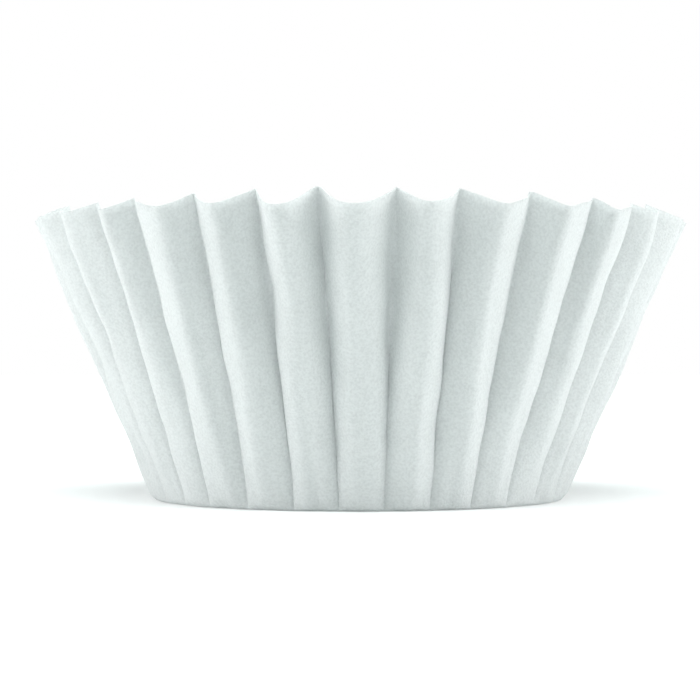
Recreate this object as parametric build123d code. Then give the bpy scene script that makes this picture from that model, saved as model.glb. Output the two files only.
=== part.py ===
"""Flat-bottomed basket filter for brewing coffee, in millimetres.

One round sheet of paper is pressed into a flat base and a wall that leans outwards.
The sheet has more paper at its edge than the leaning wall has room for, and the spare
paper stands in flutes.  Paper bends but doesn't stretch, so each flute is made of flat
and conical faces that run into each other: a flat ridge face that tapers from the bend
round the base to the rim, and on both sides of it a shoulder, a flat flank and half a
crease, which fan out from the crease's foot.
The frame's origin is the middle of the base's underside, +Z is up and -Y is the side
that faces the viewer.
"""

import os
from math import asin, atan2, cos, degrees, pi, radians, sin, sqrt, tan

from build123d import *

# Driving dimensions
SHEET_DIAMETER = 200.0  # the round blank before it is pressed
BASE_DIAMETER = 82.5  # where the line of the ridges meets the floor
PAPER = 0.2  # thickness of the paper
BEND_RADIUS = 5.0  # between the base and the wall, at mid paper
RIDGE_LEAN = radians(23.5)  # from upright
CREASE_LEAN = radians(15.9)
FLUTE_COUNT = 30
FIRST_RIDGE = radians(0.7)  # where ridge 0 stands, to the right of the side that faces the viewer
SHOULDER_RADIUS = 3.5  # at the rim, at mid paper
CREASE_RADIUS = 0.6  # at the rim, at mid paper
CONE_FACES = 5  # a shoulder, and half a crease, is laid in this many equal turns

# How the front ridges and the creases to the right of them stray from an even spacing, in
# degrees from left to right: ridges by their place, creases by how far they lean over
FRONT_RIDGES = (0.9, -0.7, -1.5, 0.6, 0.6, 0.0, 0.15, 0.1, -0.35, -0.1)
FRONT_CREASES = (0.5, 0.8, 0.5, -0.6, -0.8, 0.0, -0.5, 0.2, 0.1, -0.6)
OTHER_RIDGES = 0.5  # the most that the rest stray
OTHER_CREASES = 0.6

# Sizes that follow
BEND_TURN = pi / 2 - RIDGE_LEAN
FLAT_RADIUS = BASE_DIAMETER / 2 - BEND_RADIUS * tan(BEND_TURN / 2)
FOOT_RADIUS = FLAT_RADIUS + BEND_RADIUS * sin(BEND_TURN)
FOOT_HEIGHT = PAPER / 2 + BEND_RADIUS * (1 - cos(BEND_TURN))
WALL_LENGTH = SHEET_DIAMETER / 2 - FLAT_RADIUS - BEND_RADIUS * BEND_TURN


def stray(number, front, most):
    """How far one of the ridges or creases strays, in radians."""
    place_in_front = (number + len(front) // 2) % FLUTE_COUNT
    if place_in_front < len(front):
        return radians(front[place_in_front])
    return radians(most) * sin(2.4 * place_in_front)


def ridge_bearing(number):
    """Direction of a ridge seen from above, in radians from the viewer's side."""
    even = FIRST_RIDGE + number * 2 * pi / FLUTE_COUNT
    return even + stray(number, FRONT_RIDGES, OTHER_RIDGES)


def crease_bearing(number):
    """Direction of a crease's foot: crease 0 is between ridges -1 and 0."""
    return (ridge_bearing(number - 1) + ridge_bearing(number)) / 2


def crease_tilt(number):
    """How far a crease leans to the right, in radians."""
    return stray(number - 1, FRONT_CREASES, OTHER_CREASES)


def place(radius, bearing, height):
    """A point by its distance from the axis, its direction and its height."""
    return Vector(radius * sin(bearing), -radius * cos(bearing), height)


def ridge_normal(number):
    """Square to a ridge's face, outwards."""
    return place(cos(RIDGE_LEAN), ridge_bearing(number), -sin(RIDGE_LEAN))


def ridge_top(number, side):
    """The rim of a ridge on the outside (side 1) or the inside (side -1) of the paper."""
    radius = FOOT_RADIUS + WALL_LENGTH * sin(RIDGE_LEAN)
    height = FOOT_HEIGHT + WALL_LENGTH * cos(RIDGE_LEAN)
    return place(radius, ridge_bearing(number), height) + ridge_normal(number) * (side * PAPER / 2)


def corner(number, radius, height):
    """Where the lines round two neighbouring ridges meet, given their distance from the axis."""
    half_pitch = (ridge_bearing(number) - ridge_bearing(number - 1)) / 2
    return place(radius / cos(half_pitch), crease_bearing(number), height)


def crease_foot(number, side):
    """Where a crease starts, at the top of the bend."""
    offset = side * PAPER / 2
    radius = FOOT_RADIUS + offset * cos(RIDGE_LEAN)
    return corner(number, radius, FOOT_HEIGHT - offset * sin(RIDGE_LEAN))


def crease_lines(number):
    """Directions up a crease and square to it, outwards."""
    bearing = crease_bearing(number)
    upright = place(sin(CREASE_LEAN), bearing, cos(CREASE_LEAN))
    sideways = Vector(cos(bearing), sin(bearing), 0)
    up = upright * cos(crease_tilt(number)) + sideways * sin(crease_tilt(number))
    return up, place(cos(CREASE_LEAN), bearing, -sin(CREASE_LEAN))


def swing(foot, start, finish, axis, steps):
    """The faces that a line leaves as it swings about an axis through its foot, and their rims."""
    turn = atan2(axis.dot(start.cross(finish)), start.dot(finish) - start.dot(axis) * finish.dot(axis))
    about = Axis(foot, axis)
    line = Edge.make_line(foot, foot + start)
    pieces = []
    for step in range(steps):
        turned = line.rotate(about, degrees(turn) * step / steps)
        face = Face.revolve(turned, degrees(turn) / steps, about)
        rim = []
        for share in (0, 0.5, 1):
            rim.append(turned.rotate(about, degrees(turn) * share / steps) @ 1)
        pieces.append((face, Edge.make_three_point_arc(*rim)))
    return pieces


def fan(number, ridge, side):
    """The faces between a crease and one of its two ridges, and their rim from crease to ridge."""
    foot = crease_foot(number, side)
    to_ridge = ridge_top(ridge, side) - foot
    length = to_ridge.length
    to_ridge = to_ridge.normalized()
    to_crease, out_of_crease = crease_lines(number)
    outward = ridge_normal(ridge)
    shoulder = asin((SHOULDER_RADIUS + side * PAPER / 2) / length)
    crease = asin((CREASE_RADIUS - side * PAPER / 2) / length)
    shoulder_axis = to_ridge * cos(shoulder) - outward * sin(shoulder)
    crease_axis = to_crease * cos(crease) + out_of_crease * sin(crease)
    # The flank is the plane that touches both cones
    span = shoulder_axis.dot(crease_axis)
    across = shoulder_axis.cross(crease_axis)
    part_shoulder = (-sin(shoulder) - span * sin(crease)) / (1 - span**2)
    part_crease = (sin(crease) + span * sin(shoulder)) / (1 - span**2)
    in_plane = shoulder_axis * part_shoulder + crease_axis * part_crease
    rest = sqrt(1 - in_plane.dot(in_plane)) / across.length
    if across.dot(outward) < 0:
        rest = -rest
    flank_normal = in_plane + across * rest
    flank_top = (shoulder_axis + flank_normal * sin(shoulder)) / cos(shoulder)
    flank_foot = (crease_axis - flank_normal * sin(crease)) / cos(crease)
    pieces = swing(foot, to_crease * length, flank_foot * length, crease_axis, CONE_FACES)
    pieces += swing(foot, flank_foot * length, flank_top * length, flank_normal, 1)
    pieces += swing(foot, flank_top * length, to_ridge * length, shoulder_axis, CONE_FACES)
    return [face for face, rim in pieces], [rim for face, rim in pieces]


def bend(number, side):
    """The bend below one ridge, cut off square to the base at its two creases."""
    radius = BEND_RADIUS + side * PAPER / 2
    centre = Vector(0, -FLAT_RADIUS, PAPER / 2 + BEND_RADIUS)
    points = []
    for turn in (0, BEND_TURN / 2, BEND_TURN):
        points.append(centre + Vector(0, -sin(turn), -cos(turn)) * radius)
    width = BASE_DIAMETER * 2 * pi / FLUTE_COUNT
    profile = Edge.make_three_point_arc(*points).moved(Location((-width / 2, 0, 0)))
    face = Face.extrude(profile, (width, 0, 0)).rotate(Axis.Z, degrees(ridge_bearing(number)))
    for crease, inward in ((number, 1), (number + 1, -1)):
        bearing = crease_bearing(crease)
        cut = Plane((0, 0, 0), z_dir=Vector(cos(bearing), sin(bearing), 0) * inward)
        face = face.split(cut, keep=Keep.TOP)
    return face


def paper_filter():
    """The filter: two skins a paper's thickness apart, joined at the rim."""
    faces = []
    rims = []
    for side in (1, -1):
        rim = []
        base = []
        for number in range(FLUTE_COUNT):
            for crease in (number, number + 1):
                fan_faces, fan_rim = fan(crease, number, side)
                faces += fan_faces
                rim += fan_rim
            left = crease_foot(number, side)
            right = crease_foot(number + 1, side)
            faces.append(Face(Wire.make_polygon([left, right, ridge_top(number, side)])))
            faces.append(bend(number, side))
            base.append(corner(number, FLAT_RADIUS, (1 - side) * PAPER / 2))
        faces.append(Face(Wire.make_polygon(base)))
        rims.append(rim)
    for outer, inner in zip(*rims):
        faces.append(Face.make_surface_from_curves(outer, inner))
    return Solid(Shell(faces))


os.makedirs("parts", exist_ok=True)
export_step(paper_filter(), "parts/paper_filter.step")
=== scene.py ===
"""Looks of a flat-bottomed paper basket filter for coffee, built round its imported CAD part.

The paper is one closed mesh: a flat base, a bend round it and a wall of flutes.  It has the
CAD part's base, ridges and lean, and on top of that what a soft sheet has: a tighter bend,
flutes that sway and aren't all as deep, creases that run out in the bend and are rounded at
the rim, slack between the creases, and the grain of the paper.
The viewer's side is -Y, and +X is to the viewer's right.
"""

from math import cos, pi, radians, sin, tan

import bpy
import numpy as np
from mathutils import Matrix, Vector, noise


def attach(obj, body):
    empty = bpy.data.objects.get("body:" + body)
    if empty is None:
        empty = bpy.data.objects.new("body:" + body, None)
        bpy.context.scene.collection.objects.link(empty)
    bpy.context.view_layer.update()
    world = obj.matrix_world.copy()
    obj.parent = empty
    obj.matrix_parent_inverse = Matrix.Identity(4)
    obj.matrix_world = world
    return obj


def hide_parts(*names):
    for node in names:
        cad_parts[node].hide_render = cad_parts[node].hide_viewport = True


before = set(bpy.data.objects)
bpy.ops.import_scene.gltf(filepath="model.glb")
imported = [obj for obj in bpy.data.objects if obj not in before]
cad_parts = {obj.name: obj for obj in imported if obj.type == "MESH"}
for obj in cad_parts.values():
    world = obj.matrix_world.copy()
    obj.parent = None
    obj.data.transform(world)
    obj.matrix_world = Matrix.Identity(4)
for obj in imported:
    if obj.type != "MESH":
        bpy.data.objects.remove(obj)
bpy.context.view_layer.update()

bl_info = {
    "name": "Basket Coffee Filter",
    "version": (1, 0, 0),
    "blender": (4, 5, 0),
    "location": "3D View > Sidebar > Filter",
    "description": "Builds a fluted paper coffee filter on its CAD part, with a plain studio",
    "category": "Add Mesh",
}

MM = 0.001

# The pressed sheet, midway through the paper
BASE_RADIUS = 41.25 * MM  # where the line of the ridges meets the floor
SLANT = 59.8 * MM  # of the ridges, from there to the rim
BEND_RADIUS = 2.5 * MM  # between the base and the wall
RIDGE_LEAN = radians(23.5)  # from upright
FLUTE_COUNT = 30
FIRST_RIDGE = radians(0.7)  # where ridge 0 stands, to the right of the viewer's side
BEND_TURN = pi / 2 - RIDGE_LEAN
FLAT_RADIUS = BASE_RADIUS - BEND_RADIUS * tan(BEND_TURN / 2)
WALL_LENGTH = SLANT - BEND_RADIUS * tan(BEND_TURN / 2)

# The front ridges, and the creases to the right of them, one by one from left to right
FRONT_RIDGES = (0.9, -0.7, -1.5, 0.6, 0.6, 0.0, 0.15, 0.1, -0.35, -0.1)  # degrees off an even spacing
FRONT_SWAY = (2.0, 2.5, 3.5, 0.2, -1.5, -0.8, -1.0, -0.8, -1.0, -1.5)  # degrees of a ridge's turn at the rim
FRONT_FLATS = (0.1, 0.12, 0.15, 0.25, 0.38, 0.42, 0.38, 0.2, 0.15, 0.12)  # flat share of a ridge's half width
FRONT_CREASES = (2.0, 0.6, 0.8, -1.2, -2.0, -0.1, -1.0, 1.0, 3.0, 1.8)  # degrees of a crease's turn at the rim
FRONT_DEPTHS = (0.6, 0.68, 0.82, 1.0, 1.05, 1.05, 1.0, 0.95, 0.78, 0.65)  # shares of CREASE_DEPTH

# The other ridges and creases: the most that they turn, in degrees, and their mean shares
OTHER_RIDGES = 0.5
OTHER_SWAY = 1.5
OTHER_CREASES = 0.6
OTHER_FLATS = 0.25
OTHER_DEPTHS = 0.85
TURN_STEP = 2.4  # how far the wave that strews the turns goes on from one flute to the next, in radians
SHARE_STEP = 1.9  # the same for the shares
SHARE_SPREAD = 0.15  # how far the shares are strewn about their mean

# Section of a flute
CREASE_DEPTH = 7.3 * MM  # at the rim, square to the ridges' faces
DEPTH_GROWTH = 0.55  # a crease's depth grows with this power of the way up
CREASE_START = 2.6 * MM  # below the top of the bend
RUN_OUT = 0.3 * MM  # how softly the creases run out in the bend
SHOULDER_ROUND = 0.22  # of a ridge, as a share of a flute's half width
LOW_FOLD = 0.4  # share of a crease's depth that is in the narrow fold at its bottom, at the foot
HIGH_FOLD = 0.16  # the same at the rim
FOLD_POWER = 9  # the higher it is, the narrower that fold
SHARPEST_CREASE = 0.01  # round of a crease at its foot, as a share of a flute's half width
CREASE_ROUND = 0.13  # what it gains up to the rim

# Rows and columns of the mesh
BASE_ROWS = (0.12, 0.3, 0.5, 0.7, 0.85, 0.95)  # shares of the base's radius
BEND_ROWS = 11
ROW_GROWTH = 1.1  # above 1, the wall's rows lie further apart towards the rim
CROWDING = 0.6  # of the columns at the creases: 0 is even

# Slack of the sheet: a wide and a small noise in space, and streaks that run up each flute
SLACK_ROWS = BEND_ROWS + 6  # it comes in over the bend and the first rows of the wall
WIDE_SCALE = 70
SMALL_SCALE = 190
SMALL_OFFSET = Vector((7, 3, 5))
SMALL_SHARE = 0.3
STREAK_SHARE = 1.6
STREAK_COLUMN = 0.14  # steps through the noise for each column and row
STREAK_ROW = 0.04
STREAK_SLICE = 11

# Grain of the paper
FIBRE_SCALE = 2200
FIBRE_ROUGHNESS = 0.65
FIBRE_HEIGHT = 0.2 * MM
CLOUD_SCALE = 2200
CLOUD_ENDS = (0.32, 0.62)  # of the noise, where the paper is at its darkest and lightest
CLOUD_DARKEST = 0.9  # share of the paper's colour
PATCH_SCALE = 160
PATCH_ENDS = (0.4, 0.65)  # of the noise, where the grain is at its weakest and strongest
WEAKEST_GRAIN = 0.4  # share of the strongest
SHEEN_LEVEL = 0.15  # specular level

# The studio
FLOOR_REACH = 4.0
FLOOR_DROP = 0.05 * MM  # below the frame's floor, so that the base doesn't flicker in it
FLOOR_COLOUR = (0.9, 0.9, 0.9, 1)
PAGE_ENDS = (0.1, 0.4)  # distances from the floor's middle between which it fades into the white page
PAGE_LEVELS = (0.2, 1)  # of the page's white at those distances
PAGE_WHITE = (1, 1, 1, 1)
ROOM_COLOUR = (0.82, 1, 0.975, 1)
SIDE_SPOTS = {"left lamp": (-0.55, -0.12, 0.18), "right lamp": (0.55, -0.12, 0.18)}
SIDE_COLOUR = (1, 1, 1)
TOP_SPOT = (0, -0.2, 0.68)
TOP_COLOUR = (0.92, 1, 0.985)
LAMP_SIZE = 0.5
LAMP_AIM = Vector((0, 0, 0.03))
SENSOR_WIDTH = 36
LENS = 114.3
PICTURE_WIDTH = 700
PICTURE_SHIFT = (-8, 12.2)  # of the view, in pixels
NEAREST_VIEW = 0.01


class FilterPaper(bpy.types.PropertyGroup):
    """Sizes and colours of the paper"""

    thickness: bpy.props.FloatProperty(
        name="Thickness",
        description="Thickness of the paper",
        default=0.2 * MM,
        min=0.05 * MM,
        unit="LENGTH",
    )
    columns: bpy.props.IntProperty(
        name="Columns",
        description="Faces across a flute",
        default=26,
        min=8,
        max=60,
    )
    rows: bpy.props.IntProperty(
        name="Rows",
        description="Faces up the wall",
        default=40,
        min=8,
        max=120,
    )
    slack: bpy.props.FloatProperty(
        name="Slack",
        description="How far the wall wanders from its pressed form",
        default=0.8 * MM,
        unit="LENGTH",
    )
    colour: bpy.props.FloatVectorProperty(
        name="Colour",
        description="Colour of the paper",
        default=(0.91, 0.92, 0.92),
        subtype="COLOR",
        min=0,
        max=1,
    )
    roughness: bpy.props.FloatProperty(
        name="Roughness",
        description="Roughness of the paper",
        default=0.92,
        subtype="FACTOR",
        min=0,
        max=1,
    )
    see_through: bpy.props.FloatProperty(
        name="See-through",
        description="Share of the light that passes through the sheet",
        default=0.4,
        subtype="FACTOR",
        min=0,
        max=1,
    )
    grain: bpy.props.FloatProperty(
        name="Grain",
        description="Strength of the paper's grain",
        default=0.8,
        subtype="FACTOR",
        min=0,
        max=1,
    )


class FilterStage(bpy.types.PropertyGroup):
    """Lamps and camera of the studio"""

    side_light: bpy.props.FloatProperty(
        name="Side light",
        description="Power of each of the two side lamps",
        default=2.5,
        unit="POWER",
    )
    top_light: bpy.props.FloatProperty(
        name="Top light",
        description="Power of the lamp overhead",
        default=4.75,
        unit="POWER",
    )
    room_light: bpy.props.FloatProperty(
        name="Room light",
        description="Strength of the light from all round",
        default=0.195,
    )
    camera_distance: bpy.props.FloatProperty(
        name="Camera distance",
        description="From the camera to the filter's axis",
        default=0.447,
        unit="LENGTH",
    )
    camera_height: bpy.props.FloatProperty(
        name="Camera height",
        description="Height of the camera above the floor",
        default=0.0273,
        unit="LENGTH",
    )


def front_place(number, front):
    """Where a ridge or crease stands in a list of the front ones: past its end for the others."""
    return (number + len(front) // 2) % FLUTE_COUNT


def turn_of(number, front, most):
    """A turn of one of the ridges or creases, in radians: given at the front, strewn elsewhere."""
    where = front_place(number, front)
    if where < len(front):
        return radians(front[where])
    return radians(most) * sin(TURN_STEP * where)


def share_of(number, front, mean):
    """A share of one of the ridges or creases: given at the front, strewn elsewhere."""
    where = front_place(number, front)
    if where < len(front):
        return front[where]
    return mean * (1 + SHARE_SPREAD * sin(SHARE_STEP * where))


def ridge_bearing(number):
    """Direction of a ridge seen from above, in radians from the viewer's side."""
    return FIRST_RIDGE + number * 2 * pi / FLUTE_COUNT + turn_of(number, FRONT_RIDGES, OTHER_RIDGES)


def crease_bearing(number):
    """Direction of a crease's foot: crease 0 is between ridges -1 and 0."""
    return (ridge_bearing(number - 1) + ridge_bearing(number)) / 2


def crease_depth(number):
    """Depth of a crease at the rim, square to the ridges' faces."""
    return CREASE_DEPTH * share_of(number - 1, FRONT_DEPTHS, OTHER_DEPTHS)


def place(radius, bearing, height):
    """A point by its distance from the axis, its direction and its height."""
    return np.array((radius * sin(bearing), -radius * cos(bearing), height))


def corner(number, radius, height):
    """Where the lines round two neighbouring ridges meet, given their distance from the axis."""
    half_pitch = (ridge_bearing(number) - ridge_bearing(number - 1)) / 2
    return place(radius / cos(half_pitch), crease_bearing(number), height)


def wall_row(level, middle):
    """Distance from the axis and height of a ridge's face, this far up from the top of the bend.

    Middle is the height of the base midway through the paper.
    """
    radius = FLAT_RADIUS + BEND_RADIUS * sin(BEND_TURN)
    height = middle + BEND_RADIUS * (1 - cos(BEND_TURN))
    return radius + level * sin(RIDGE_LEAN), height + level * cos(RIDGE_LEAN)


def ramp(across):
    """Level before a ridge's shoulder and slanting beyond it."""
    return (across + np.hypot(across, SHOULDER_ROUND)) / 2


def flute_section(number, shares, up):
    """Depth at these shares of a flute's width, from 0 on its ridge to 1 at its creases.

    Up is the share of the way from the creases' start to the rim.
    """
    round_off = SHARPEST_CREASE + CREASE_ROUND * up**2
    from_crease = np.hypot(1 - np.abs(2 * shares - 1), round_off) - round_off
    from_ridge = 1 - from_crease / (np.hypot(1, round_off) - round_off)
    flat = share_of(number, FRONT_FLATS, OTHER_FLATS)
    flank = (ramp(from_ridge - flat) - ramp(-flat)) / (ramp(1 - flat) - ramp(-flat))
    fold = LOW_FOLD + (HIGH_FOLD - LOW_FOLD) * up
    return (1 - fold) * flank + fold * from_ridge**FOLD_POWER


def flute_sway(number, shares):
    """How far a flute's rim is turned to the right at these shares of its width, in radians."""
    left = turn_of(number - 1, FRONT_CREASES, OTHER_CREASES)
    right = turn_of(number, FRONT_CREASES, OTHER_CREASES)
    ridge = turn_of(number, FRONT_SWAY, OTHER_SWAY)
    swell = (ridge - (left + right) / 2) * np.sin(pi * shares) ** 2
    return left * (1 - shares) + right * shares + swell


def flute_row(number, level, bend, shares, middle):
    """Points across one flute this far up from the top of the bend.

    Below it, bend is how far the bend stands back from the line of the wall.
    """
    radius, height = wall_row(level, middle)
    left = corner(number, radius, height)
    right = corner(number + 1, radius, height)
    bearing = ridge_bearing(number)
    outwards = place(1, bearing, 0)
    sideways = np.array((cos(bearing), sin(bearing), 0))
    aside = (left + (right - left) * shares[:, None]) @ sideways
    up = max(level + CREASE_START, 0) / (WALL_LENGTH + CREASE_START)
    deepest = np.where(shares < 0.5, crease_depth(number), crease_depth(number + 1))
    depth = deepest * up**DEPTH_GROWTH * flute_section(number, shares, up)
    if level < 0:
        soft = RUN_OUT * sin(pi * level / (BEND_RADIUS * sin(BEND_TURN)))
        depth = (depth + bend + np.sqrt((depth - bend) ** 2 + soft**2)) / 2
    reach = radius - depth * cos(RIDGE_LEAN)
    aside = aside * reach / radius
    points = outwards * reach[:, None] + sideways * aside[:, None]
    points[:, 2] = height + depth * sin(RIDGE_LEAN)
    if level < 0:
        return points
    sway = flute_sway(number, shares) * level / WALL_LENGTH
    x = points[:, 0] * np.cos(sway) - points[:, 1] * np.sin(sway)
    y = points[:, 0] * np.sin(sway) + points[:, 1] * np.cos(sway)
    return np.stack((x, y, points[:, 2]), axis=1)


def flute_shares(paper):
    """Where the columns stand across a flute, closer together at the creases."""
    even = np.arange(paper.columns) / paper.columns
    return even - CROWDING * np.sin(2 * pi * even) / (2 * pi)


def pressed_rows(paper):
    """The sheet midway through its thickness: rows of points from the base's middle to the rim."""
    middle = paper.thickness / 2
    shares = flute_shares(paper)
    rows = []
    for share in BASE_ROWS:
        row = []
        for number in range(FLUTE_COUNT):
            left = corner(number, FLAT_RADIUS * share, middle)
            right = corner(number + 1, FLAT_RADIUS * share, middle)
            row.append(left + (right - left) * shares[:, None])
        rows.append(np.concatenate(row))
    for step in range(BEND_ROWS):
        turn = BEND_TURN * (1 - step / BEND_ROWS)
        level = -BEND_RADIUS * sin(turn)
        bend = BEND_RADIUS * (1 - cos(turn))
        row = [flute_row(number, level, bend, shares, middle) for number in range(FLUTE_COUNT)]
        rows.append(np.concatenate(row))
    for step in range(paper.rows + 1):
        level = WALL_LENGTH * (step / paper.rows) ** ROW_GROWTH
        row = [flute_row(number, level, 0, shares, middle) for number in range(FLUTE_COUNT)]
        rows.append(np.concatenate(row))
    return np.array(rows)


def row_normals(rows):
    """Outward normals of a sheet of rows that close on themselves."""
    across = np.roll(rows, -1, axis=1) - np.roll(rows, 1, axis=1)
    upwards = np.gradient(rows, axis=0)
    normals = np.cross(across, upwards)
    return normals / np.linalg.norm(normals, axis=2, keepdims=True)


def used_paper(paper):
    """The sheet as it stands: the pressed form with its slack."""
    rows = pressed_rows(paper)
    normals = row_normals(rows)
    shift = np.zeros(rows.shape[:2])
    off_crease = np.tile(np.sin(pi * flute_shares(paper)) ** 2, FLUTE_COUNT)
    for row in range(rows.shape[0]):
        rise = min(max((row - len(BASE_ROWS)) / SLACK_ROWS, 0), 1)
        if rise == 0:
            continue
        for column in range(rows.shape[1]):
            spot = Vector(rows[row, column])
            wide = noise.noise(spot * WIDE_SCALE)
            small = noise.noise(spot * SMALL_SCALE + SMALL_OFFSET)
            streak = noise.noise(Vector((column * STREAK_COLUMN, row * STREAK_ROW, STREAK_SLICE)))
            bulge = wide + SMALL_SHARE * small + STREAK_SHARE * streak * off_crease[column]
            shift[row, column] = paper.slack * rise * bulge
    return rows + normals * shift[:, :, None]


def paper_mesh(paper):
    """Both skins of the sheet, closed at the rim, as a mesh."""
    rows = used_paper(paper)
    normals = row_normals(rows)
    half = paper.thickness / 2
    count, around = rows.shape[:2]
    points = [(0, 0, 0), (0, 0, paper.thickness)]
    for skin in (rows + normals * half, rows - normals * half):
        points += [tuple(point) for point in skin.reshape(-1, 3)]

    def outer(row, column):
        return 2 + row * around + column % around

    def inner(row, column):
        return outer(row, column) + count * around

    rim = count - 1
    faces = []
    for column in range(around):
        after = column + 1
        faces.append((0, outer(0, after), outer(0, column)))
        faces.append((1, inner(0, column), inner(0, after)))
        faces.append((outer(rim, column), outer(rim, after), inner(rim, after), inner(rim, column)))
        for row in range(rim):
            above = row + 1
            faces.append((outer(row, column), outer(row, after), outer(above, after), outer(above, column)))
            faces.append((inner(row, column), inner(above, column), inner(above, after), inner(row, after)))
    mesh = bpy.data.meshes.new("filter paper")
    mesh.from_pydata(points, [], faces)
    mesh.validate()
    mesh.shade_smooth()
    return mesh


def paper_noise(material, scale, detail):
    """A noise that stays with the paper."""
    nodes, links = material.node_tree.nodes, material.node_tree.links
    where = nodes.new("ShaderNodeTexCoord")
    texture = nodes.new("ShaderNodeTexNoise")
    texture.inputs["Scale"].default_value = scale
    texture.inputs["Detail"].default_value = detail
    links.new(where.outputs["Object"], texture.inputs["Vector"])
    return texture


def paper_material(paper):
    """White crepe-like paper that lets some light through."""
    material = bpy.data.materials.new("filter paper")
    material.use_nodes = True
    nodes, links = material.node_tree.nodes, material.node_tree.links
    nodes.clear()
    out = nodes.new("ShaderNodeOutputMaterial")
    mix = nodes.new("ShaderNodeMixShader")
    face = nodes.new("ShaderNodeBsdfPrincipled")
    through = nodes.new("ShaderNodeBsdfTranslucent")
    face.inputs["Roughness"].default_value = paper.roughness
    face.inputs["Specular IOR Level"].default_value = SHEEN_LEVEL
    mix.inputs[0].default_value = paper.see_through

    clouds = paper_noise(material, CLOUD_SCALE, 3)
    tone = nodes.new("ShaderNodeValToRGB")
    darkest, lightest = tone.color_ramp.elements
    colour = tuple(paper.colour)
    darkest.position, lightest.position = CLOUD_ENDS
    darkest.color = tuple(CLOUD_DARKEST * part for part in colour) + (1,)
    lightest.color = colour + (1,)
    links.new(clouds.outputs[0], tone.inputs[0])
    links.new(tone.outputs[0], face.inputs["Base Color"])
    links.new(tone.outputs[0], through.inputs["Color"])

    fibres = paper_noise(material, FIBRE_SCALE, 2)
    fibres.inputs["Roughness"].default_value = FIBRE_ROUGHNESS
    patches = paper_noise(material, PATCH_SCALE, 2)
    strength = nodes.new("ShaderNodeMapRange")
    strength.inputs["From Min"].default_value = PATCH_ENDS[0]
    strength.inputs["From Max"].default_value = PATCH_ENDS[1]
    strength.inputs["To Min"].default_value = WEAKEST_GRAIN * paper.grain
    strength.inputs["To Max"].default_value = paper.grain
    bump = nodes.new("ShaderNodeBump")
    bump.inputs["Distance"].default_value = FIBRE_HEIGHT
    links.new(patches.outputs[0], strength.inputs["Value"])
    links.new(strength.outputs[0], bump.inputs["Strength"])
    links.new(fibres.outputs[0], bump.inputs["Height"])
    links.new(bump.outputs[0], face.inputs["Normal"])
    links.new(bump.outputs[0], through.inputs["Normal"])

    links.new(face.outputs[0], mix.inputs[1])
    links.new(through.outputs[0], mix.inputs[2])
    links.new(mix.outputs[0], out.inputs["Surface"])
    return material


class FILTER_OT_paper(bpy.types.Operator):
    """Build the filter's paper"""

    bl_idname = "filter.paper"
    bl_label = "Build the Paper"

    def execute(self, context):
        paper = context.scene.filter_paper
        mesh = paper_mesh(paper)
        mesh.materials.append(paper_material(paper))
        sheet = bpy.data.objects.new("filter_sheet", mesh)
        context.scene.collection.objects.link(sheet)
        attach(sheet, "root")
        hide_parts("paper_filter")
        return {"FINISHED"}


def floor_material():
    """Pale and matt, and fading into a white page that only the camera sees."""
    material = bpy.data.materials.new("floor")
    material.use_nodes = True
    nodes, links = material.node_tree.nodes, material.node_tree.links
    nodes.clear()
    out = nodes.new("ShaderNodeOutputMaterial")
    both = nodes.new("ShaderNodeAddShader")
    matt = nodes.new("ShaderNodeBsdfDiffuse")
    page = nodes.new("ShaderNodeEmission")
    path = nodes.new("ShaderNodeLightPath")
    level = nodes.new("ShaderNodeMath")
    where = nodes.new("ShaderNodeTexCoord")
    away = nodes.new("ShaderNodeVectorMath")
    fade = nodes.new("ShaderNodeMapRange")
    matt.inputs["Color"].default_value = FLOOR_COLOUR
    away.operation = "LENGTH"
    level.operation = "MULTIPLY"
    fade.inputs["From Min"].default_value = PAGE_ENDS[0]
    fade.inputs["From Max"].default_value = PAGE_ENDS[1]
    fade.inputs["To Min"].default_value = PAGE_LEVELS[0]
    fade.inputs["To Max"].default_value = PAGE_LEVELS[1]
    links.new(where.outputs["Object"], away.inputs[0])
    links.new(away.outputs["Value"], fade.inputs["Value"])
    links.new(path.outputs["Is Camera Ray"], level.inputs[0])
    links.new(fade.outputs[0], level.inputs[1])
    links.new(level.outputs[0], page.inputs["Strength"])
    links.new(matt.outputs[0], both.inputs[0])
    links.new(page.outputs[0], both.inputs[1])
    links.new(both.outputs[0], out.inputs["Surface"])
    return material


def lay_floor(context):
    """The floor that the filter stands on."""
    low, high = -FLOOR_REACH, FLOOR_REACH
    mesh = bpy.data.meshes.new("floor")
    mesh.from_pydata([(low, low, 0), (high, low, 0), (high, high, 0), (low, high, 0)], [], [(0, 1, 2, 3)])
    mesh.materials.append(floor_material())
    floor = bpy.data.objects.new("floor", mesh)
    floor.location.z = -FLOOR_DROP
    context.scene.collection.objects.link(floor)


def light_room(context, strength):
    """Dim light from all round, and a white page behind the filter that only the camera sees."""
    world = bpy.data.worlds.new("studio")
    world.use_nodes = True
    nodes, links = world.node_tree.nodes, world.node_tree.links
    nodes.clear()
    out = nodes.new("ShaderNodeOutputWorld")
    mix = nodes.new("ShaderNodeMixShader")
    room = nodes.new("ShaderNodeBackground")
    page = nodes.new("ShaderNodeBackground")
    path = nodes.new("ShaderNodeLightPath")
    room.inputs["Color"].default_value = ROOM_COLOUR
    room.inputs["Strength"].default_value = strength
    page.inputs["Color"].default_value = PAGE_WHITE
    page.inputs["Strength"].default_value = 1
    links.new(path.outputs["Is Camera Ray"], mix.inputs[0])
    links.new(room.outputs[0], mix.inputs[1])
    links.new(page.outputs[0], mix.inputs[2])
    links.new(mix.outputs[0], out.inputs["Surface"])
    context.scene.world = world


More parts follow.
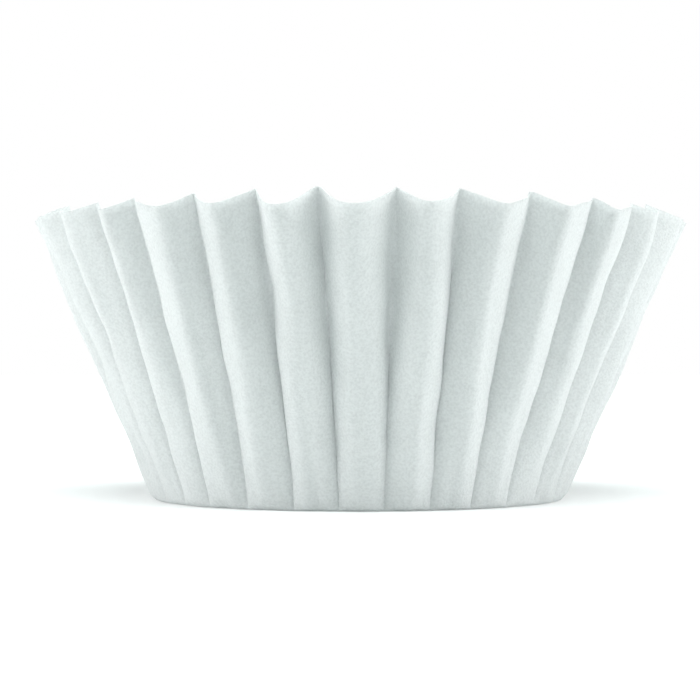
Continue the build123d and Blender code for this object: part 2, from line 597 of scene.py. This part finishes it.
def hang_lamp(context, name, power, spot, colour):
    """A soft square lamp that faces the filter."""
    data = bpy.data.lights.new(name, "AREA")
    data.energy = power
    data.color = colour
    data.size = LAMP_SIZE
    light = bpy.data.objects.new(name, data)
    light.location = spot
    light.rotation_euler = (LAMP_AIM - Vector(spot)).to_track_quat("-Z", "Y").to_euler()
    context.scene.collection.objects.link(light)


def set_camera(context, distance, height):
    """A level camera on the viewer's side."""
    data = bpy.data.cameras.new("camera")
    data.sensor_width = SENSOR_WIDTH
    data.lens = LENS
    data.shift_x = PICTURE_SHIFT[0] / PICTURE_WIDTH
    data.shift_y = PICTURE_SHIFT[1] / PICTURE_WIDTH
    data.clip_start = NEAREST_VIEW
    camera = bpy.data.objects.new("camera", data)
    camera.location = (0, -distance, height)
    camera.rotation_euler = (pi / 2, 0, 0)
    context.scene.collection.objects.link(camera)
    context.scene.camera = camera


class FILTER_OT_stage(bpy.types.Operator):
    """Set up the floor, the lamps and the camera"""

    bl_idname = "filter.stage"
    bl_label = "Set Up the Studio"

    def execute(self, context):
        stage = context.scene.filter_stage
        lay_floor(context)
        light_room(context, stage.room_light)
        for name, spot in SIDE_SPOTS.items():
            hang_lamp(context, name, stage.side_light, spot, SIDE_COLOUR)
        hang_lamp(context, "top lamp", stage.top_light, TOP_SPOT, TOP_COLOUR)
        set_camera(context, stage.camera_distance, stage.camera_height)
        context.scene.view_settings.view_transform = "Standard"
        return {"FINISHED"}


class FILTER_PT_panel(bpy.types.Panel):
    """The filter's sizes, colours and steps"""

    bl_idname = "FILTER_PT_panel"
    bl_label = "Basket Coffee Filter"
    bl_space_type = "VIEW_3D"
    bl_region_type = "UI"
    bl_category = "Filter"

    def draw(self, context):
        layout = self.layout
        for group in (context.scene.filter_paper, context.scene.filter_stage):
            box = layout.box()
            for name in group.bl_rna.properties.keys():
                if name not in ("rna_type", "name"):
                    box.prop(group, name)
        layout.operator("filter.paper")
        layout.operator("filter.stage")


CLASSES = (FilterPaper, FilterStage, FILTER_OT_paper, FILTER_OT_stage, FILTER_PT_panel)


def register():
    for each in CLASSES:
        bpy.utils.register_class(each)
    bpy.types.Scene.filter_paper = bpy.props.PointerProperty(type=FilterPaper)
    bpy.types.Scene.filter_stage = bpy.props.PointerProperty(type=FilterStage)


def unregister():
    del bpy.types.Scene.filter_stage
    del bpy.types.Scene.filter_paper
    for each in reversed(CLASSES):
        bpy.utils.unregister_class(each)


def main():
    register()
    bpy.ops.filter.paper()
    bpy.ops.filter.stage()


if __name__ == "__main__":
    main()
